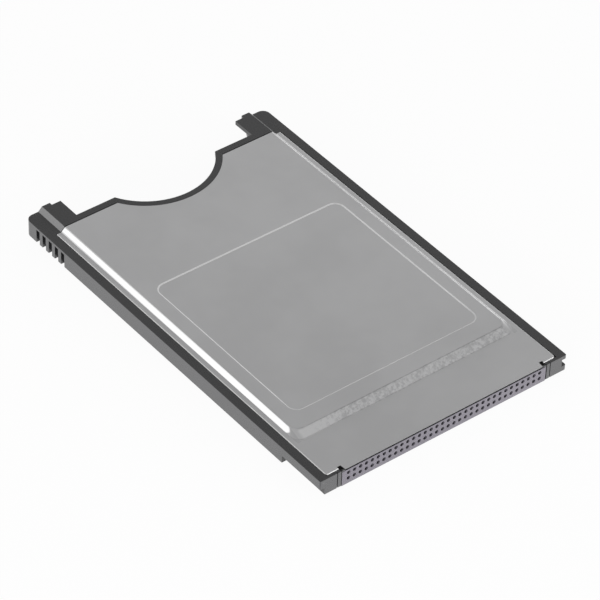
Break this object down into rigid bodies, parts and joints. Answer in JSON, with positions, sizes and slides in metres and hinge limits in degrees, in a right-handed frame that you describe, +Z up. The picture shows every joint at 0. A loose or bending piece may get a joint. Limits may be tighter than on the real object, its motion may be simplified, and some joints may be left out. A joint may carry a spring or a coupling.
{
  "type": "memory card adapter",
  "caption": "Flat adapter that holds a memory card in a laptop's card slot: moulded frame, drawn steel covers, thumb notch and a socket edge.",
  "frame": {"origin": "middle of the underside of the whole adapter, in the plane that it rests on", "axes": "+Y towards the mouth for the memory card and the thumb notch, -Y towards the socket edge that goes into the laptop, +Z up, +X to the right when looking along +Y"},
  "size_m": [0.054, 0.0856, 0.005],
  "materials": {
    "frame_plastic": "satin moulded",
    "cover_steel": "satin rolled",
    "socket_plastic": "satin moulded",
    "header_plastic": "satin moulded",
    "contact_metal": "gold plated",
    "tinned_metal": "tinned",
    "board_laminate": "solder mask",
    "film_plastic": "smooth film",
    "chip_ceramic": "matt with tinned ends"
  },
  "bodies": {
    "root": {"frame": "frame_plastic", "top_cover": "cover_steel", "bottom_cover": "cover_steel", "host_connector_housing": "socket_plastic", "host_contacts_upper": "contact_metal", "host_contacts_lower": "contact_metal", "circuit_board": "board_laminate", "host_hold_downs": "tinned_metal", "header_hold_downs": "tinned_metal", "ground_clips": "tinned_metal", "card_header_housing": "header_plastic", "card_signal_pins_upper": "contact_metal", "card_signal_pins_lower": "contact_metal", "card_power_pins": "contact_metal", "card_detect_pins": "contact_metal", "top_insulating_film": "film_plastic", "bottom_insulating_film": "film_plastic", "chip_capacitors": "chip_ceramic", "chip_resistors": "chip_ceramic"}
  },
  "joints": []
}
